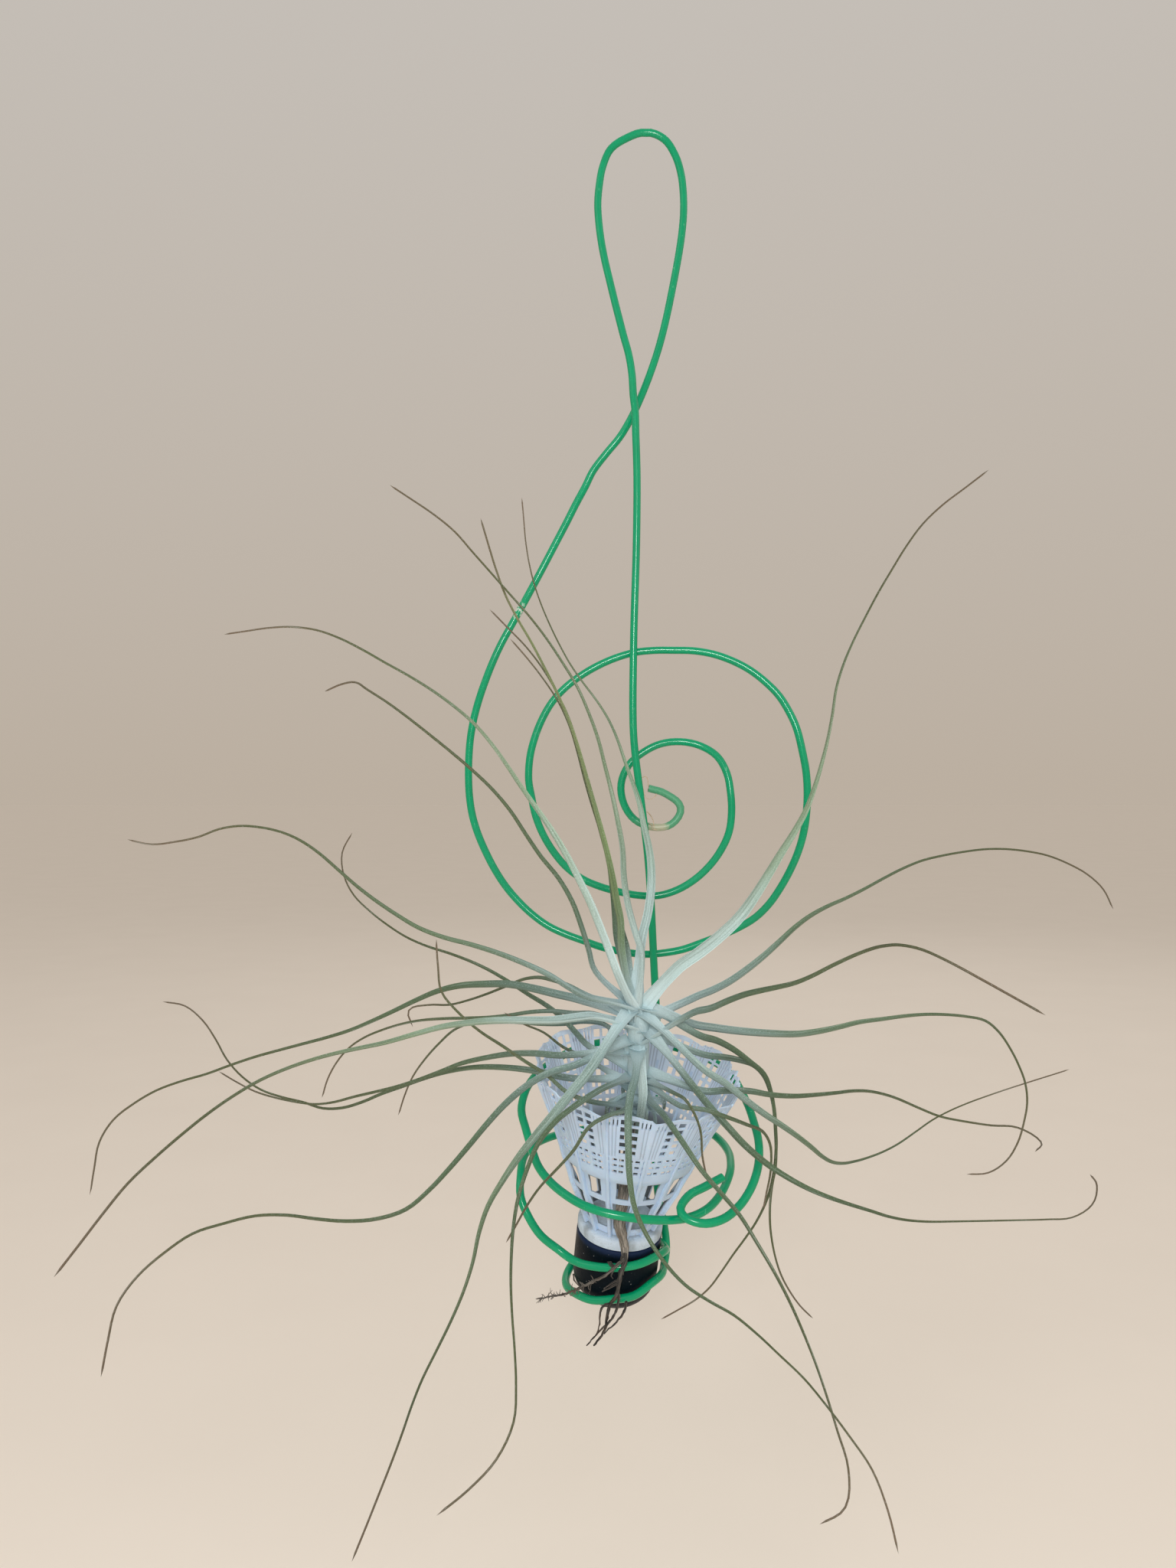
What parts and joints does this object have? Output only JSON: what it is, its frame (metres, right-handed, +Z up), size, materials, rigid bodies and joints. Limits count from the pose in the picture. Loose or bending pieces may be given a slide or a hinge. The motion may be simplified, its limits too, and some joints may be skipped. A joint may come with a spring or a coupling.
{
  "type": "air plant in a wire hanger",
  "caption": "Narrow-leaved silvery air plant seated in an old nylon shuttlecock, held in a coil of green coated wire whose upper part is bent into a treble clef with a hanging loop.",
  "frame": {"origin": "centre of the wire at the top of the hanging loop", "axes": "+Z up, +X to the right of a viewer who faces the wall, +Y into the wall"},
  "size_m": [0.321, 0.1753, 0.3967],
  "materials": {
    "wire_coat": "glossy green plastic coat on steel wire",
    "nylon": "white moulded nylon, slightly glossy and scuffed",
    "foam": "matt white foam",
    "dark_skin": "navy black skin, satin",
    "leaf": "matt green under silvery scales",
    "sheath": "matt pale grey green",
    "dead_stem": "dry fibrous brown"
  },
  "bodies": {
    "root": {"clef_curl": "wire_coat", "clef_ring_top": "wire_coat", "clef_ring_side": "wire_coat", "clef_bow": "wire_coat", "clef_loop": "wire_coat", "clef_stem": "wire_coat", "coil_base": "wire_coat", "coil_skirt": "wire_coat", "shuttle_skirt": "nylon", "base_pad": "foam", "shuttle_base": "dark_skin", "plant_stem": "sheath", "old_stem": "dead_stem", "leaf_upright_a": "leaf", "leaf_upright_b": "leaf", "leaf_upright_c": "leaf", "leaf_upright_d": "leaf", "leaf_upright_e": "leaf", "leaf_upper_left_a": "leaf", "leaf_upper_left_b": "leaf", "leaf_upper_right": "leaf", "leaf_right_a": "leaf", "leaf_right_b": "leaf", "leaf_right_c": "leaf", "leaf_right_d": "leaf", "leaf_right_e": "leaf", "leaf_right_f": "leaf", "leaf_right_g": "leaf", "leaf_right_h": "leaf", "leaf_right_i": "leaf", "leaf_cup_right_a": "leaf", "leaf_cup_right_b": "leaf", "leaf_front_a": "leaf", "leaf_front_b": "leaf", "leaf_front_c": "leaf", "leaf_left_a": "leaf", "leaf_left_b": "leaf", "leaf_left_c": "leaf", "leaf_left_d": "leaf", "leaf_left_e": "leaf", "leaf_left_f": "leaf", "leaf_left_g": "leaf", "leaf_left_h": "leaf", "leaf_left_i": "leaf", "leaf_left_j": "leaf", "leaf_left_k": "leaf", "leaf_left_l": "leaf", "leaf_left_m": "leaf", "leaf_left_n": "leaf"}
  },
  "joints": []
}
